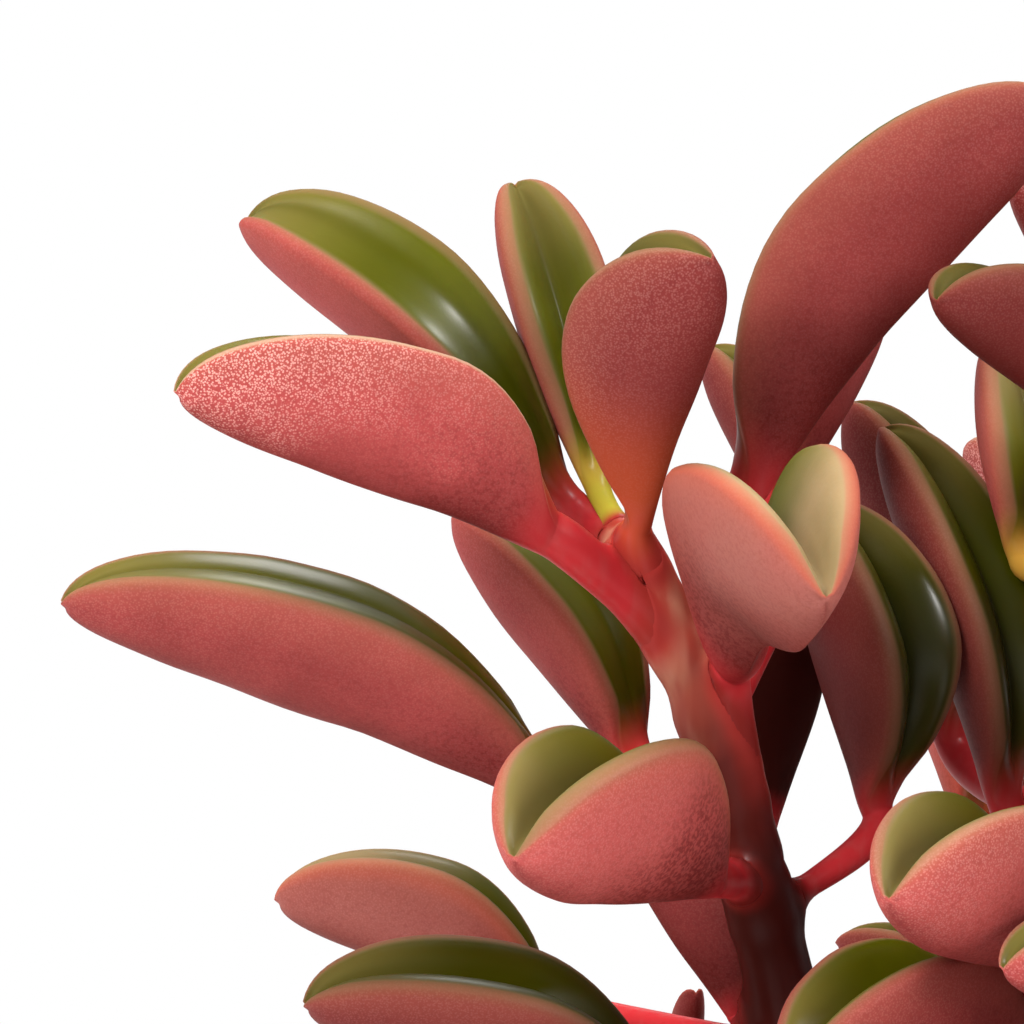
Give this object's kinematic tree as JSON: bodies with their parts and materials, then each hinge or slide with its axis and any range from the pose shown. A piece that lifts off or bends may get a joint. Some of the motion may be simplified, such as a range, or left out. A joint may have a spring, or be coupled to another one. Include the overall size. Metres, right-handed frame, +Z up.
{
  "type": "potted peperomia",
  "caption": "Succulent peperomia with thick boat-shaped leaves, ruby red below and green along the fold above, growing from soil in a plain tapered clay pot.",
  "frame": {"origin": "centre of the pot's foot, on the surface it stands on", "axes": "+Z up, +X to the right of the picture's viewer, -Y toward that viewer"},
  "size_m": [0.1783, 0.1537, 0.2271],
  "materials": {
    "leafy_stem": "fine-grained matte red leaf skin with a glossy green fold",
    "pot": "plain unglazed clay, dry and matte",
    "soil": "dark crumbly potting soil"
  },
  "bodies": {
    "root": {"leafy_stem_front_left": "leafy_stem", "leafy_stem_middle": "leafy_stem", "leafy_stem_right_front": "leafy_stem", "leafy_stem_right": "leafy_stem", "leafy_stem_back_right": "leafy_stem", "leafy_stem_back": "leafy_stem", "leafy_stem_front_shoot": "leafy_stem", "leafy_stem_right_shoot": "leafy_stem", "leafy_stem_rear_shoot": "leafy_stem", "leafy_stem_back_left_shoot": "leafy_stem", "leafy_stem_left_shoot": "leafy_stem", "pot": "pot", "soil": "soil"}
  },
  "joints": []
}
